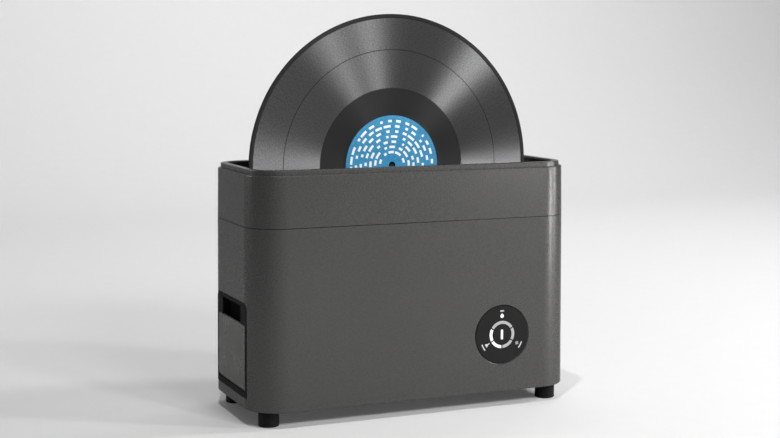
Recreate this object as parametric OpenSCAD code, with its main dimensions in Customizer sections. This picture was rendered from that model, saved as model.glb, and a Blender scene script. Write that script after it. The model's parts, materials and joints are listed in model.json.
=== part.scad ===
// Ultrasonic cleaning machine for vinyl records, with a 12 inch record in it.
// The record stands upright in a narrow water basin and turns on two rollers.
// Units are millimetres, +Z is up, -Y is the front.
// The origin is on the surface under the feet, at the middle of the case.

/* [Case] */
// Width of the case from left to right, at the seam
case_w = 338; // [336:1:342]
// Depth of the case from front to back, at the seam
case_d = 144; // [143:1:148]
// Radius of the upright corners, at the seam
corner_r = 32; // [30:1:32]
// Slope of the lower shell's walls in degrees, wider at the bottom
lower_slope = 0.5; // [0.4:0.1:0.6]
// Slope of the upper shell's walls in degrees, narrower at the top
upper_slope = 1; // [0.8:0.1:1.2]
// Thickness of the case walls
wall = 3; // [2.5:0.5:3]
// Height of the feet under the case
foot_h = 15.7; // [15.5:0.1:16]
// Height of the seam between the lower and the upper shell
seam_z = 190.1; // [189.6:0.1:190.6]
// Height of the shoulder around the raised rim
shoulder_z = 240.1; // [239.8:0.1:240.4]
// Height of the top of the raised rim
rim_z = 244.7; // [244.2:0.1:245.2]

/* [Record] */
// Radius of the record
record_r = 150.8; // [150:0.2:151]
// Height of the middle of the record when it sits on the rollers
record_z = 240.6; // [240.2:0.1:241]
// Radius of the paper labels
label_r = 50; // [46:1:50]

/* [Water basin] */
// Radius of the curved inside of the basin
basin_r = 158; // [157:0.5:158]
// Half of the inside width of the basin
basin_half = 10; // [9:0.5:10]
// Thickness of the basin walls
basin_wall = 2.5; // [2:0.5:2.5]
// Radius of the rollers' tyres
tyre_r = 9; // [8.8:0.1:9.2]
// Angle of the rollers from the lowest point of the record
roller_angle = 40; // [39:1:41]

/* [Controls] */
// Distance of the control disc from the middle of the case
panel_x = 89; // [85:1:95]
// Height of the middle of the control disc
panel_z = 73.5; // [70.5:0.5:76]
// Radius of the opening for the control disc
panel_r = 29.4; // [29.2:0.1:30]

/* [Water tank] */
// Half of the width of the tank's opening in the left wall
port_half = 46.5; // [46:0.5:47]
// Lowest height of the tank's opening
port_z0 = 26; // [25:0.5:26]
// Highest height of the tank's opening
port_z1 = 118; // [117.5:0.1:118.5]

/* [Hidden] */
$fn = 96;
half_w = case_w / 2;
half_d = case_d / 2;
base_z = foot_h;
base_t = 3;
seam_gap = 0.6;
rim_inset = 3.6;
rim_w = 7;
mouth_inset = rim_inset + rim_w;
rim_under = rim_z - 7.6;
in_w = half_w - wall;
in_d = half_d - wall;
cut_x = half_w + 3;
cut_y = half_d + 3;

// Rollers under the record
edge_gap = 0.3;
roller_d = record_r + tyre_r + edge_gap;
roller_x = roller_d * sin(roller_angle);
roller_z = record_z - roller_d * cos(roller_angle);
flange_r = tyre_r + 2.3;
pocket_r = flange_r + 1.7;
shaft_r = 2;
bush_r = 5;

// Basin, gasket and funnel, from the bottom up
basin_out = basin_half + basin_wall;
basin_top = 210;
flange_t = 2.5;
flange_len = 160;
flange_half = 15;
gasket_t = 2;
neck_z = basin_top + gasket_t;
slot_half = 9;
slot_len = 155;
window_z = 199.5;
window_half = 100;

// Gears and drive motor
gear_m = 1;
gear_n = 32;
pinion_n = 16;
gear_c = gear_m * (gear_n + pinion_n) / 2 + 0.15;
gear_a = -75;
motor_x = roller_x + gear_c * cos(gear_a);
motor_z = roller_z + gear_c * sin(gear_a);
gear_y = 18;
gear_t = 6;

// Ultrasonic transducers and blowers
horn_x = 28;
horn_z = 118;
horn_r = 19;
horn_h = 18;
stack_r = 15.5;
stack_h = 12;
bolt_r = 4;
blower_r = 29;
blower_z = 161;
blower_y = 14.5;
blower_t = 22;
blower_front_x = -80;
blower_back_x = 30;

// Pump, valve and hoses
barb_r = 3.2;
hose_r = 4.8;
hose_in = barb_r;
pump_x = -36;
pump_z = 44;
pump_r = 16;
supply_x = -30;
valve_x = 20;
return_y = 28;
return_z = 54;
armature_r = 3.3;

// Tank drawer in the left side
bay_end = -72;
bay_half = 42;
bay_z0 = 30.5;
bay_z1 = 93;
bezel_w = 2.4;
bezel_inset = 0.2;
bezel_back = -159.5;
grip_half = 28.6;
grip_z0 = 96.2;
grip_z1 = 113.5;
grip_depth = 6.5;
panel_z0 = port_z0 + 5.8;
panel_back = -half_w + 1.6;
panel_half = 42;
tank_end = -74;

// Control disc
key_r = panel_r - 0.4;
ring_out = 13.8;
ring_in = 10.8;
post_r = 22;
icon_angles = [90, 210, 330];
cup_y = -60;
board_y = -57;

// Power socket in the back wall
jack_x = 120;
jack_z = 42;

// Feet
foot_r = 10;
foot_x = 150;
foot_y = 52;
boss_x = 100;
boss_y = in_d - 4;

case_grey = [0.33, 0.32, 0.31];
deep_black = [0.05, 0.05, 0.05];
soft_black = [0.1, 0.1, 0.1];
steel_grey = [0.7, 0.7, 0.72];
light_grey = [0.75, 0.75, 0.75];
board_green = [0.08, 0.3, 0.16];

// How far the lower shell's walls stand out beyond the seam, at a height
function lower_out(z) = (seam_z - z) * tan(lower_slope);

// Outer face of the lower shell's left wall at a height
function left_face(z) = -half_w - lower_out(z);

// How far the upper shell's walls stand in from the seam, at a height
function upper_in(z) = (z - seam_z - seam_gap) * tan(upper_slope);

// Front face of the case at the middle of the control disc
face_y = -half_d - lower_out(panel_z);

// Back face of the case at the power socket
jack_y = half_d + lower_out(jack_z) - 0.2;

// Outline of a rectangle with rounded corners, from its half sizes
module rounded_outline(hx, hy, r) {
    square([2 * (hx - r), 2 * hy], center = true);
    square([2 * hx, 2 * (hy - r)], center = true);
    for (sx = [-1, 1], sy = [-1, 1])
        translate([sx * (hx - r), sy * (hy - r)])
            circle(r);
}

// Slab with the outline of the case, moved inwards by an inset
module case_slab(inset, z0, z1) {
    translate([0, 0, z0])
        linear_extrude(z1 - z0)
            rounded_outline(half_w - inset, half_d - inset, corner_r - inset);
}

// Box from its lowest and highest corners
module box(a, b) {
    translate(a)
        cube(b - a);
}

// Cylinder along Y from y0 to y1, round a point of the XZ plane
module rod_y(x, z, r, y0, y1) {
    translate([x, y1, z])
        rotate([90, 0, 0])
            cylinder(r = r, h = y1 - y0);
}

// Cylinder along X from x0 to x1, round a point of the YZ plane
module rod_x(y, z, r, x0, x1) {
    translate([x0, y, z])
        rotate([0, 90, 0])
            cylinder(r = r, h = x1 - x0);
}

// Outline drawn in the XZ plane and given thickness from y0 to y1
module front_plate(y0, y1) {
    translate([0, y1, 0])
        rotate([90, 0, 0])
            linear_extrude(y1 - y0)
                children();
}

// Outline drawn in the YZ plane and given thickness from x0 to x1
module side_plate(x0, x1) {
    translate([x0, 0, 0])
        rotate([90, 0, 90])
            linear_extrude(x1 - x0)
                children();
}

// Points of a quarter circle, for the rounded edges of a profile
function edge_arc(cx, cz, r, a0) =
    [for (i = [0 : 4]) [cx + r * cos(a0 + i * 22.5), cz + r * sin(a0 + i * 22.5)]];

// Wall profile carried once round the case, x measured from the corner centre
module around_case() {
    cx = half_w - corner_r;
    cy = half_d - corner_r;
    for (s = [0, 180])
        rotate([0, 0, s]) {
            translate([cx, cy, 0])
                rotate_extrude(angle = 90)
                    children();
            translate([-cx, cy, 0])
                rotate([0, 0, 90])
                    rotate_extrude(angle = 90)
                        children();
            translate([cx, cy, 0])
                rotate([90, 0, 0])
                    linear_extrude(2 * cy)
                        children();
            translate([-cx, cy, 0])
                rotate([90, 0, 90])
                    linear_extrude(2 * cx)
                        children();
        }
}

// Profile of the lower shell's wall
module lower_profile() {
    r = 1;
    polygon(concat(
        [[corner_r - wall, base_z]],
        edge_arc(corner_r + lower_out(base_z + r) - r, base_z + r, r, -90),
        [[corner_r, seam_z], [corner_r - wall, seam_z]]
    ));
}

// Profile of the upper shell: lap lip, wall, shoulder and raised rim
module upper_profile() {
    z0 = seam_z + seam_gap;
    lip_out = corner_r - wall - 0.2;
    lip_in = lip_out - 2;
    big = 1.2;
    small = 0.8;
    rim_out = corner_r - rim_inset;
    rim_in = corner_r - mouth_inset;
    polygon(concat(
        [[lip_out, z0], [corner_r, z0]],
        edge_arc(corner_r - upper_in(shoulder_z - big) - big, shoulder_z - big, big, 0),
        [[rim_out, shoulder_z]],
        edge_arc(rim_out - small, rim_z - small, small, 0),
        edge_arc(rim_in + small, rim_z - small, small, 90),
        [
            [rim_in, rim_under],
            [corner_r - wall, rim_under],
            [corner_r - wall, z0 + 6],
            [lip_in, z0 + 4],
            [lip_in, z0 - 6],
            [lip_out, z0 - 6]
        ]
    ));
}

// Opening of the tank drawer in the left wall: round at the top, square below
module port_outline(gap) {
    r = 7;
    h = port_half - gap;
    top = port_z1 - gap;
    translate([-h, port_z0 + gap])
        square([2 * h, top - r - port_z0 - gap]);
    translate([-h + r, port_z0 + gap])
        square([2 * (h - r), top - port_z0 - gap]);
    for (s = [-1, 1])
        translate([s * (h - r), top - r])
            circle(r);
}

// Space behind the outer face of the left wall, which slopes outwards going down
module behind_left(inset, x1) {
    front_plate(-half_d, half_d)
        polygon([
            [left_face(base_z) + inset, base_z], [left_face(seam_z) + inset, seam_z], [x1, seam_z], [x1, base_z]
        ]);
}

// Rows of upright slots in the back wall, in front of the blowers' intakes
module back_vents() {
    slot_w = 3;
    slot_h = 44;
    for (cx = [blower_front_x, blower_back_x], i = [-5 : 5])
        translate([cx + i * 7, 0, blower_z])
            front_plate(in_d - 1, cut_y)
                rounded_outline(slot_w / 2, slot_h / 2, slot_w / 2 - 0.01);
}

// Blocks inside the wall that the lip of the upper shell stands on
module lip_seats() {
    top = seam_z + seam_gap - 6;
    seat_h = 8;
    seat_half = 7;
    depth = 5.5;
    for (s = [0, 180])
        rotate([0, 0, s]) {
            for (x = [-boss_x, 0, boss_x])
                side_plate(x - seat_half, x + seat_half)
                    polygon([[in_d + 1, top - seat_h - depth], [in_d - depth, top - seat_h], [in_d - depth, top],
                        [in_d + 1, top]]);
            box([in_w - depth, -seat_half, top - seat_h], [in_w + 1, seat_half, top]);
        }
}

module lower_shell() {
    bevel = 1;
    color(case_grey)
        difference() {
            union() {
                around_case()
                    lower_profile();
                lip_seats();
                for (sx = [-1, 1], sy = [-1, 1])
                    difference() {
                        translate([sx * boss_x, sy * boss_y, base_z + base_t])
                            cylinder(r = 4.5, h = 16);
                        translate([sx * boss_x, sy * boss_y, base_z])
                            cylinder(r = 1.6, h = 16);
                    }
            }
            side_plate(-cut_x, -in_w + 1)
                port_outline(0);
            rod_y(panel_x, panel_z, panel_r, -cut_y, -in_d + 1);
            translate([panel_x, face_y + bevel, panel_z])
                rotate([90, 0, 0])
                    cylinder(r1 = panel_r, r2 = panel_r + 2 * bevel, h = 2 * bevel);
            back_vents();
            rod_y(jack_x, jack_z, 6, in_d - 1, cut_y);
        }
}

module upper_shell() {
    color(case_grey)
        around_case()
            upper_profile();
}

module base_plate() {
    color(soft_black)
        difference() {
            union() {
                case_slab(wall + 0.1, base_z, base_z + base_t);
                for (sx = [-1, 1], sy = [-1, 1])
                    translate([sx * foot_x, sy * foot_y, base_z])
                        cylinder(r = 5, h = base_t + 5);
            }
            for (sx = [-1, 1], sy = [-1, 1]) {
                translate([sx * foot_x, sy * foot_y, base_z - 1])
                    cylinder(r = shaft_r, h = 20);
                translate([sx * boss_x, sy * boss_y, base_z - 1])
                    cylinder(r = 1.7, h = 20);
                translate([sx * boss_x, sy * boss_y, base_z - 1])
                    cylinder(r = 3.2, h = 2.4);
            }
            for (i = [-4 : 4], s = [-1, 1])
                translate([40 + i * 7, s * 30, base_z - 1])
                    linear_extrude(base_t + 2)
                        rounded_outline(1.5, 12, 1.49);
        }
}

// One foot with a sunk hole for its screw
module foot(sx, sy) {
    r = 1;
    color(deep_black)
        translate([sx * foot_x, sy * foot_y, 0])
            difference() {
                rotate_extrude()
                    polygon(concat(
                        [[0, 0]],
                        edge_arc(foot_r - r, r, r, -90),
                        [[foot_r, foot_h], [0, foot_h]]
                    ));
                translate([0, 0, -1])
                    cylinder(r = 4.6, h = 10);
                cylinder(r = 2.1, h = 2 * foot_h);
            }
}

module foot_screws() {
    color(steel_grey)
        for (sx = [-1, 1], sy = [-1, 1])
            translate([sx * foot_x, sy * foot_y, 0])
                difference() {
                    union() {
                        translate([0, 0, 6])
                            cylinder(r = 4, h = 3);
                        translate([0, 0, 7])
                            cylinder(r = 1.95, h = 14);
                    }
                    translate([0, 0, 5])
                        cylinder(r = 1.5, h = 2.5, $fn = 6);
                }
}

module base_screws() {
    color(steel_grey)
        for (sx = [-1, 1], sy = [-1, 1])
            translate([sx * boss_x, sy * boss_y, base_z]) {
                difference() {
                    cylinder(r = 3, h = 1.4);
                    translate([0, 0, -1])
                        cylinder(r = 1.2, h = 1.8, $fn = 6);
                }
                translate([0, 0, 1.2])
                    cylinder(r = 1.5, h = 11);
            }
}

// Black liner of the mouth: sloping walls lead the record to the slot
module slot_funnel() {
    out_y = half_d - mouth_inset - 0.2;
    in_y = out_y - 2;
    top = rim_z - 1;
    slope = 0.39;
    lip_y = slot_half + 2.5;
    foot_half = flange_half + 2;
    foot_len = flange_len + 1;
    in_z = neck_z + 5.5;
    out_z = neck_z + 3.1;
    color(deep_black)
        difference() {
            union() {
                intersection() {
                    case_slab(mouth_inset + 0.2, neck_z, top);
                    side_plate(-half_w, half_w)
                        polygon([
                            [-out_y, top], [out_y, top],
                            [out_y, out_z + slope * (out_y - lip_y)],
                            [lip_y, out_z], [lip_y, neck_z],
                            [-lip_y, neck_z], [-lip_y, out_z],
                            [-out_y, out_z + slope * (out_y - lip_y)]
                        ]);
                }
                difference() {
                    case_slab(mouth_inset - 4, rim_under - 3, rim_under);
                    case_slab(mouth_inset + 1, rim_under - 4, rim_under + 1);
                }
                box([-foot_len, -foot_half, neck_z], [foot_len, foot_half, neck_z + flange_t]);
            }
            intersection() {
                case_slab(mouth_inset + 2.2, neck_z + 3, rim_z + 1);
                side_plate(-half_w, half_w)
                    polygon([
                        [-in_y, rim_z + 1], [in_y, rim_z + 1],
                        [in_y, in_z + slope * (in_y - slot_half)],
                        [slot_half, in_z], [slot_half, neck_z],
                        [-slot_half, neck_z], [-slot_half, in_z],
                        [-in_y, in_z + slope * (in_y - slot_half)]
                    ]);
            }
            box([-slot_len, -slot_half, neck_z - 1], [slot_len, slot_half, neck_z + 6]);
        }
}

// Notched blocks at both ends of the slot keep the record upright
module record_guides() {
    end_x = half_w - mouth_inset - 2.2;
    z0 = neck_z + 7;
    z1 = z0 + 14;
    notch = 1.7;
    color(soft_black)
        for (s = [0, 180])
            rotate([0, 0, s])
                difference() {
                    box([end_x - 10, -6.5, z0], [end_x, 6.5, z1]);
                    box([end_x - 11, -notch, z0 - 1], [end_x - 3, notch, z1 + 1]);
                    side_plate(end_x - 11, end_x - 3)
                        polygon([[-notch, z1 - 3], [-notch - 3, z1 + 1], [notch + 3, z1 + 1], [notch, z1 - 3]]);
                }
}

module basin_gasket() {
    color([0.2, 0.2, 0.2])
        difference() {
            box([-flange_len, -flange_half, basin_top], [flange_len, flange_half, neck_z]);
            box([-slot_len - 1, -basin_half, basin_top - 1], [slot_len + 1, basin_half, neck_z + 1]);
        }
}

// Half disc with two roller pockets, drawn in the XZ plane
module basin_outline(r, pocket) {
    translate([0, record_z])
        circle(r, $fn = 180);
    for (s = [-1, 1])
        translate([s * roller_x, roller_z])
            circle(pocket);
}

// Height of the underside of the basin at a distance from the middle
function basin_under(x) = record_z - sqrt(pow(basin_r + basin_wall, 2) - x * x);

module basin() {
    mouth_len = sqrt(pow(basin_r, 2) - pow(record_z - basin_top, 2));
    color([0.16, 0.17, 0.18])
        difference() {
            union() {
                difference() {
                    front_plate(-basin_out, basin_out)
                        basin_outline(basin_r + basin_wall, pocket_r + basin_wall);
                    box([-half_w, -half_d, basin_top], [half_w, half_d, 2 * record_z]);
                }
                box([-flange_len, -flange_half, basin_top - flange_t], [flange_len, flange_half, basin_top]);
                for (x = [supply_x, valve_x])
                    translate([x, 0, basin_under(x) - 7.5])
                        cylinder(r = barb_r, h = 9);
            }
            difference() {
                front_plate(-basin_half, basin_half)
                    basin_outline(basin_r, pocket_r);
                box([-half_w, -half_d, basin_top + 1], [half_w, half_d, 2 * record_z]);
            }
            box([-mouth_len, -basin_half, basin_top - 4], [mouth_len, basin_half, basin_top + 2]);
            for (x = [supply_x, valve_x])
                translate([x, 0, basin_under(x) - 9])
                    cylinder(r = barb_r - 1.2, h = 16);
            for (s = [-1, 1])
                rod_y(s * roller_x, roller_z, bush_r, -half_d, half_d);
            box([-window_half, -half_d, window_z - 2], [window_half, half_d, window_z + 2]);
        }
}

// Air bar along one side of the basin, with the duct from its blower
module nozzle(side, duct_x) {
    near = basin_out;
    far = near + 14;
    z0 = window_z - 7;
    z1 = window_z + 7;
    t = 2;
    duct_near = blower_y;
    duct_far = blower_y + blower_t;
    duct_z0 = blower_z + blower_r + 1;
    color(soft_black)
        mirror([0, side < 0 ? 1 : 0, 0])
            difference() {
                union() {
                    box([-window_half - 4, near, z0], [window_half + 4, far, z1]);
                    box([duct_x + 3, duct_near, duct_z0], [duct_x + blower_r, duct_far, z1]);
                }
                box([-window_half, near + t, z0 + t], [window_half, far - t, z1 - t]);
                box([-window_half, near - 1, window_z - 2], [window_half, near + t + 1, window_z + 2]);
                box([duct_x + 5, duct_near + t, duct_z0 - 1], [duct_x + blower_r - 2, duct_far - t, z1 - t]);
            }
}

// Spiral housing of a blower, seen along Y
module blower_outline(r, out0) {
    tight = 2.8;
    steps = 24;
    polygon([
        for (i = [0 : steps])
            let(a = 360 * i / steps, reach = r - tight * (1 - i / steps))
            [reach * cos(a + 90), reach * sin(a + 90)]
    ]);
    translate([out0, 0])
        square([r - out0, blower_r + 1]);
}

// Blower housing with its round intake on the side away from the basin
module blower(side, x) {
    t = 2;
    y0 = blower_y;
    y1 = blower_y + blower_t;
    color([0.12, 0.12, 0.13])
        mirror([0, side < 0 ? 1 : 0, 0])
            difference() {
                translate([x, 0, blower_z])
                    front_plate(y0, y1)
                        blower_outline(blower_r, 3);
                translate([x, 0, blower_z])
                    front_plate(y0 + t, y1 - t)
                        blower_outline(blower_r - t, 5);
                rod_y(x, blower_z, 17, y1 - t - 1, y1 + 1);
                box([x + 5, y0 + t, blower_z + 10], [x + blower_r - t, y1 - t, blower_z + blower_r + 2]);
            }
}

// Stators that stand inside the hubs of the two impellers
module blower_motors() {
    color(steel_grey) {
        rod_y(blower_front_x, blower_z, 8, -blower_y - 12, -blower_y - 2);
        rod_y(blower_back_x, blower_z, 8, blower_y + 2, blower_y + 12);
    }
}

// Blower wheel: hub cup, back disc and slanted blades
module impeller(side, x) {
    blades = 18;
    y0 = blower_y + 3;
    y1 = blower_y + blower_t - 3;
    color([0.3, 0.32, 0.34])
        mirror([0, side < 0 ? 1 : 0, 0])
            difference() {
                union() {
                    rod_y(x, blower_z, 10.5, y0, y1);
                    rod_y(x, blower_z, 23, y0, y0 + 1.5);
                    translate([x, 0, blower_z])
                        front_plate(y0, y1)
                            for (i = [0 : blades - 1])
                                rotate(i * 360 / blades)
                                    translate([17, 0])
                                        rotate(-50)
                                            square([1.2, 7]);
                }
                rod_y(x, blower_z, 8.4, y0 - 1, blower_y + 13);
            }
}

module transducer_fronts() {
    color([0.8, 0.8, 0.82])
        for (s = [-1, 1])
            translate([s * horn_x, -basin_out, horn_z])
                rotate([90, 0, 0])
                    difference() {
                        union() {
                            cylinder(r = horn_r, h = horn_h / 3);
                            translate([0, 0, horn_h / 3])
                                cylinder(r1 = horn_r, r2 = stack_r, h = 2 * horn_h / 3);
                        }
                        translate([0, 0, 8])
                            cylinder(r = bolt_r, h = horn_h);
                    }
}

// Two ceramic rings with a thin electrode between them, for each transducer
module transducer_rings() {
    mid = stack_h / 2;
    hole_r = 6.5;
    foil_r = stack_r - 0.7;
    foil_half = 0.3;
    color([0.5, 0.45, 0.35])
        for (s = [-1, 1])
            translate([s * horn_x, -basin_out - horn_h, horn_z])
                rotate([90, 0, 0])
                    rotate_extrude()
                        polygon([
                            [hole_r, 0], [stack_r, 0], [stack_r, mid - foil_half], [foil_r, mid - foil_half],
                            [foil_r, mid + foil_half], [stack_r, mid + foil_half], [stack_r, stack_h],
                            [hole_r, stack_h]
                        ]);
}

module transducer_tails() {
    start = basin_out + horn_h + stack_h;
    color(steel_grey)
        for (s = [-1, 1]) {
            rod_y(s * horn_x, horn_z, stack_r, -start - 13, -start);
            rod_y(s * horn_x, horn_z, bolt_r - 0.05, -start - 1, -basin_out - 9);
            translate([s * horn_x, -start - 12, horn_z])
                rotate([90, 0, 0])
                    cylinder(r = 7, h = 7, $fn = 6);
        }
}

// Bearings of the two roller shafts, pressed into the basin's walls
module roller_bushings() {
    bore = shaft_r + 0.05;
    color([0.75, 0.6, 0.35])
        for (s = [-1, 1], side = [-1, 1])
            difference() {
                union() {
                    rod_y(s * roller_x, roller_z, bush_r, min(side * basin_half, side * basin_out),
                        max(side * basin_half, side * basin_out));
                    rod_y(s * roller_x, roller_z, 7, min(side * basin_out, side * (basin_out + 3)),
                        max(side * basin_out, side * (basin_out + 3)));
                }
                if (s == 1 && side == 1)
                    rod_y(s * roller_x, roller_z, bore, 0, half_d);
                else
                    rod_y(s * roller_x, roller_z, bore, min(0, side * (basin_out + 0.5)),
                        max(0, side * (basin_out + 0.5)));
            }
}

// Grooved hub that carries the edge of the record
module roller_hub(x) {
    core = tyre_r - 2;
    color([0.85, 0.85, 0.83])
        translate([x, 0, roller_z])
            rotate([90, 0, 0])
                rotate_extrude()
                    polygon([
                        [shaft_r, -basin_half + 0.5], [4, -basin_half + 0.5],
                        [4, -5], [flange_r, -5], [flange_r, -4], [flange_r - 1, -3],
                        [core, -3], [core, 3],
                        [flange_r - 1, 3], [flange_r, 4], [flange_r, 5], [4, 5],
                        [4, basin_half - 0.5], [shaft_r, basin_half - 0.5]
                    ]);
}

module roller_tyre(x) {
    color([0.15, 0.15, 0.15])
        difference() {
            rod_y(x, roller_z, tyre_r, -3, 3);
            rod_y(x, roller_z, tyre_r - 2, -4, 4);
        }
}

module drive_shaft() {
    color(steel_grey)
        rod_y(roller_x, roller_z, shaft_r, -basin_out + 0.2, gear_y + gear_t + 1);
}

module idle_shaft() {
    color(steel_grey)
        rod_y(-roller_x, roller_z, shaft_r, -basin_out + 0.2, basin_out - 0.2);
}

// Involute of the base circle, as the angle it turns through at a radius
function involute(base, r) =
    r <= base ? 0 : let(a = acos(base / r)) tan(a) * 180 / PI - a;

// Half of a tooth's angle at a radius
function tooth_half(n, r) =
    let(pitch = gear_m * n / 2, base = pitch * cos(20), play = 0.09 * 180 / PI / pitch)
    90 / n - play + involute(base, pitch) - involute(base, r);

// Gear wheel outline with a first tooth along +X
module gear_outline(n) {
    pitch = gear_m * n / 2;
    root = pitch - 1.25 * gear_m;
    tip = pitch + 0.9 * gear_m;
    steps = 5;
    radii = [for (i = [0 : steps]) root - 0.2 + (tip - root + 0.2) * i / steps];
    circle(root);
    for (k = [0 : n - 1])
        rotate(k * 360 / n)
            polygon(concat(
                [for (r = radii) let(h = tooth_half(n, r)) [r * cos(h), -r * sin(h)]],
                [for (i = [steps : -1 : 0]) let(r = radii[i], h = tooth_half(n, r)) [r * cos(h), r * sin(h)]]
            ));
}

module spur_gear() {
    color([0.9, 0.88, 0.8])
        translate([roller_x, 0, roller_z])
            front_plate(gear_y, gear_y + gear_t)
                difference() {
                    rotate(gear_a)
                        gear_outline(gear_n);
                    circle(shaft_r);
                    for (i = [0 : 4])
                        rotate(i * 72)
                            translate([8.5, 0])
                                circle(2.5);
                }
}

module pinion() {
    color([0.8, 0.7, 0.4]) {
        translate([motor_x, 0, motor_z])
            front_plate(gear_y - 0.5, gear_y + gear_t + 0.5)
                rotate(gear_a + 180 + 180 / pinion_n)
                    gear_outline(pinion_n);
        rod_y(motor_x, motor_z, 1.5, gear_y + gear_t, 32);
    }
}

// Bearing cap and two terminals on the far end of a motor
module motor_end(x, z, y, dir) {
    cap_h = 1.5;
    tab_h = 2.5;
    rod_y(x, z, 5, min(y, y + dir * cap_h), max(y, y + dir * cap_h));
    for (s = [-1, 1])
        translate([x + s * 8, y + dir * tab_h / 2, z])
            cube([0.8, tab_h, 3], center = true);
}

module drive_motor() {
    color([0.55, 0.55, 0.57])
        difference() {
            union() {
                rod_y(motor_x, motor_z, 4, 26, 29);
                rod_y(motor_x, motor_z, 14, 28, 45);
                rod_y(motor_x, motor_z, 12, 45, 64);
                motor_end(motor_x, motor_z, 64, 1);
            }
            rod_y(motor_x, motor_z, 1.55, 20, 33);
        }
}

// Upright plate on the base that holds the drive motor
module motor_bracket() {
    floor_z = base_z + base_t;
    half = 16;
    t = 2;
    y0 = 26;
    foot_len = 18;
    gusset_h = 40;
    color(light_grey)
        difference() {
            union() {
                box([motor_x - half, y0, floor_z], [motor_x + half, y0 + t, motor_z + 12]);
                box([motor_x - half, y0, floor_z], [motor_x + half, y0 + foot_len, floor_z + t]);
                for (x = [motor_x - half, motor_x + half - t])
                    side_plate(x, x + t)
                        polygon([[y0 + 1, floor_z + 1], [y0 + foot_len, floor_z + 1],
                            [y0 + foot_len, floor_z + t + 2], [y0 + t + 1, floor_z + gusset_h],
                            [y0 + 1, floor_z + gusset_h]]);
            }
            rod_y(motor_x, motor_z, 4.1, 20, 30);
        }
}

module pump_body() {
    color([0.2, 0.2, 0.22])
        difference() {
            union() {
                rod_y(pump_x, pump_z, pump_r, -9, 9);
                box([pump_x - 12, -9, base_z + base_t], [pump_x + 12, 9, pump_z - 12]);
                rod_x(0, pump_z, barb_r, pump_x - pump_r - 8, pump_x - pump_r + 2);
                translate([supply_x, 0, pump_z + 10])
                    cylinder(r = barb_r, h = 12);
            }
            rod_y(pump_x, pump_z, pump_r - 3.5, -6, 6);
            rod_y(pump_x, pump_z, 1.55, -10, 0);
            rod_x(0, pump_z, barb_r - 1.2, pump_x - pump_r - 9, pump_x - 8);
            translate([supply_x, 0, pump_z + 2])
                cylinder(r = barb_r - 1.2, h = 22);
        }
}

module pump_motor() {
    color([0.55, 0.55, 0.57])
        difference() {
            union() {
                rod_y(pump_x, pump_z, 12, -44, -9);
                motor_end(pump_x, pump_z, -44, -1);
            }
            rod_y(pump_x, pump_z, 1.55, -16, 0);
        }
}

// Wheel of the pump on its short shaft
module pump_rotor() {
    color([0.85, 0.85, 0.85]) {
        rod_y(pump_x, pump_z, 1.5, -15, 0);
        rod_y(pump_x, pump_z, 3.5, -5, 4.5);
        rod_y(pump_x, pump_z, 11.5, -5, -3.5);
        translate([pump_x, 0, pump_z])
            front_plate(-4, 4)
                for (i = [0 : 5])
                    rotate(i * 60)
                        translate([3, -0.75])
                            square([7.8, 1.5]);
    }
}

module suction_hose() {
    color([0.75, 0.78, 0.8])
        difference() {
            rod_x(0, pump_z, hose_r, bay_end + 3, pump_x - pump_r - 0.5);
            rod_x(0, pump_z, hose_in, bay_end + 2, pump_x);
        }
}

// Straight upright hose between two barbs
module upright_hose(x, z0, z1) {
    translate([x, 0, z0])
        difference() {
            cylinder(r = hose_r, h = z1 - z0);
            translate([0, 0, -1])
                cylinder(r = hose_in, h = z1 - z0 + 2);
        }
}

// Supply hose from the pump and drain hose to the valve
module basin_hoses() {
    color([0.75, 0.78, 0.8]) {
        upright_hose(supply_x, pump_z + pump_r + 0.3, basin_under(supply_x) - 1);
        upright_hose(valve_x, return_z + 12.5, basin_under(valve_x) - 1);
    }
}

// Ring shape of a hose's cut end
module hose_ring() {
    difference() {
        circle(hose_r, $fn = 48);
        circle(hose_in, $fn = 48);
    }
}

// Hose from the valve to the tank's return port, with one bend
module return_hose() {
    bend = 10;
    turn_y = return_y - bend;
    turn_x = valve_x - bend;
    start_y = 10.5;
    end_x = bay_end + 3;
    color([0.75, 0.78, 0.8])
        translate([0, 0, return_z]) {
            translate([valve_x, turn_y, 0])
                rotate([90, 0, 0])
                    linear_extrude(turn_y - start_y)
                        hose_ring();
            translate([turn_x, turn_y, 0])
                rotate_extrude(angle = 90)
                    translate([bend, 0])
                        hose_ring();
            translate([end_x, return_y, 0])
                rotate([0, 90, 0])
                    linear_extrude(turn_x - end_x)
                        hose_ring();
        }
}

module valve_body() {
    seat_z = return_z + 6;
    color([0.2, 0.2, 0.22])
        difference() {
            union() {
                translate([valve_x, 0, return_z - 6])
                    cylinder(r = 10, h = 18);
                translate([valve_x, 0, seat_z])
                    cylinder(r = barb_r, h = 12);
                rod_y(valve_x, return_z, barb_r, 5, 17);
            }
            translate([valve_x, 0, return_z - 4])
                cylinder(r = 7, h = 10);
            translate([valve_x, 0, return_z - 8])
                cylinder(r = armature_r + 0.08, h = 10);
            translate([valve_x, 0, seat_z - 1])
                cylinder(r = barb_r - 1.2, h = 20);
            rod_y(valve_x, return_z, barb_r - 1.2, 0, 18);
        }
}

// Coil between two flanges, with the upright of its iron yoke at the front
module valve_coil() {
    floor_z = base_z + base_t;
    top_z = return_z - 6;
    flange = 2;
    color([0.6, 0.3, 0.15])
        translate([valve_x, 0, 0])
            difference() {
                union() {
                    for (z = [floor_z, top_z - flange])
                        translate([0, 0, z])
                            cylinder(r = 13, h = flange);
                    translate([0, 0, floor_z + 1])
                        cylinder(r = 10, h = top_z - floor_z - 2);
                    box([-8, -14, floor_z], [8, -12, top_z]);
                }
                translate([0, 0, return_z - 24])
                    cylinder(r = armature_r + 0.08, h = 30);
            }
}

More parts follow.
